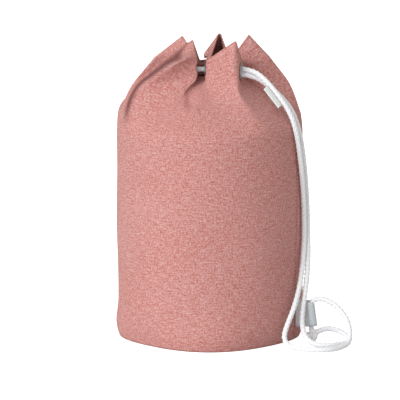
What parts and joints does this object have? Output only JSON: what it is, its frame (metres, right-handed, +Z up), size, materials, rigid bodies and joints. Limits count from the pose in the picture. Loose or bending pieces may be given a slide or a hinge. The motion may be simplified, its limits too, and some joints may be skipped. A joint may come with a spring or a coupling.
{
  "type": "drawstring sack",
  "caption": "Round-based cloth duffel sack, its mouth gathered by one cord through eyelets; the cord's ends hang as a strap to a side tab.",
  "frame": {"origin": "centre of the base's underside, on the surface the sack stands on", "axes": "+Z up along the sack; +X right, the side on which the cord hangs; the front faces -Y"},
  "size_m": [0.3155, 0.2508, 0.412],
  "materials": {
    "sack_cloth": "coral and white chambray weave",
    "base_cloth": "coral and white chambray weave",
    "binding_tape": "herringbone binding tape",
    "braided_cord": "braided cotton, off white",
    "eyelet_metal": "nickel plated, slightly dulled",
    "washer_metal": "nickel plated, slightly dulled",
    "tab_tape": "grey twill tape with a satin face",
    "label_tape": "pale satin ribbon, blank"
  },
  "bodies": {
    "root": {"body_panel": "sack_cloth", "base_panel": "base_cloth", "base_binding": "binding_tape", "side_seam_tape": "binding_tape", "draw_cord": "braided_cord", "end_knot": "braided_cord", "eyelet_1": "eyelet_metal", "eyelet_2": "eyelet_metal", "eyelet_3": "eyelet_metal", "eyelet_4": "eyelet_metal", "eyelet_5": "eyelet_metal", "eyelet_6": "eyelet_metal", "eyelet_7": "eyelet_metal", "eyelet_washer_1": "washer_metal", "eyelet_washer_2": "washer_metal", "eyelet_washer_3": "washer_metal", "eyelet_washer_4": "washer_metal", "eyelet_washer_5": "washer_metal", "eyelet_washer_6": "washer_metal", "eyelet_washer_7": "washer_metal"},
    "tab": {"tab": "tab_tape"},
    "label": {"label": "label_tape"}
  },
  "joints": [
    {"name": "tab_swing", "type": "hinge", "parent": "root", "child": "tab", "pos_m": [0.1153, -0.0506, 0.038], "axis": [0, 0, 1], "range_deg": [-3, 4]},
    {"name": "label_swing", "type": "hinge", "parent": "root", "child": "label", "pos_m": [0.0885, -0.06225, 0.33725], "axis": [0.6099, -0.166, -0.7749], "range_deg": [-15, 40]}
  ]
}
